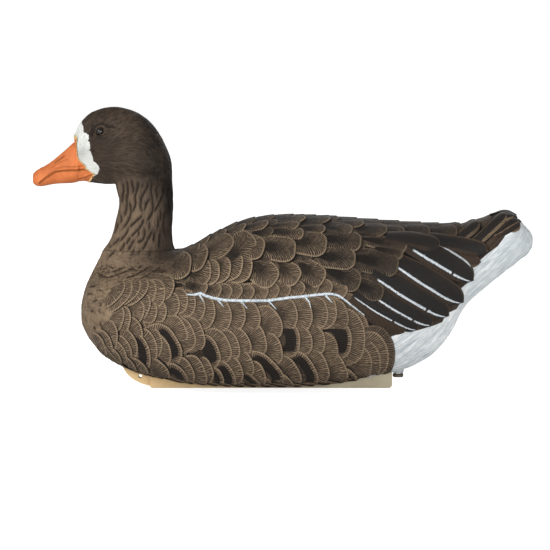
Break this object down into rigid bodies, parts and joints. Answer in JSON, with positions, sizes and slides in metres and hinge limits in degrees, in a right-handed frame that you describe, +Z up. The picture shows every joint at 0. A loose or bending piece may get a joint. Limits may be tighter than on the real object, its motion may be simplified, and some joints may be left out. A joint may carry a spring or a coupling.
{
  "type": "floating goose decoy",
  "caption": "Floating goose decoy with hollow hull, weighted bolted-on keel with a line hole, turning lift-off head on a sealed spigot, and a drain plug.",
  "frame": {"origin": "centre of the bounding box in plan, on the flat bottom of the keel", "axes": "+Z up; +X towards the tail, so the bill points along -X; +Y towards the bird's right side"},
  "size_m": [0.6084, 0.2454, 0.3419],
  "materials": {
    "plumage_brown": "matt painted and dry-brushed plumage relief",
    "plumage_dark": "matt dark brown paint over fine relief",
    "keel_tan": "moulded tan plastic with faint weathering",
    "ballast_iron": "rough cast",
    "screw_steel": "plated, slightly dulled",
    "socket_black": "moulded dark brown-black plastic",
    "seal_rubber": "soft matt rubber",
    "eye_brown": "polished dark brown acrylic",
    "bung_brown": "moulded brown plastic"
  },
  "bodies": {
    "hull": {"body_shell": "plumage_brown", "neck_socket": "socket_black", "socket_screws": "screw_steel", "keel": "keel_tan", "keel_ballast": "ballast_iron", "keel_screws": "screw_steel"},
    "seals": {"neck_gasket": "seal_rubber", "spigot_orings": "seal_rubber"},
    "head": {"head_shell": "plumage_dark", "eye_left": "eye_brown", "eye_right": "eye_brown", "neck_spigot": "socket_black", "spigot_screws": "screw_steel"},
    "bung": {"drain_bung": "bung_brown", "bung_seal": "seal_rubber"}
  },
  "joints": [
    {"name": "head_lift", "type": "slide", "parent": "hull", "child": "seals", "axis": [0, 0, 1], "range_m": [0, 0.06]},
    {"name": "head_turn", "type": "hinge", "parent": "seals", "child": "head", "pos_m": [-0.175, 0, 0.1692], "axis": [0, 0, 1], "range_deg": [-60, 60]},
    {"name": "bung_pull", "type": "slide", "parent": "hull", "child": "bung", "axis": [0, 0, -1], "range_m": [0, 0.018]}
  ]
}
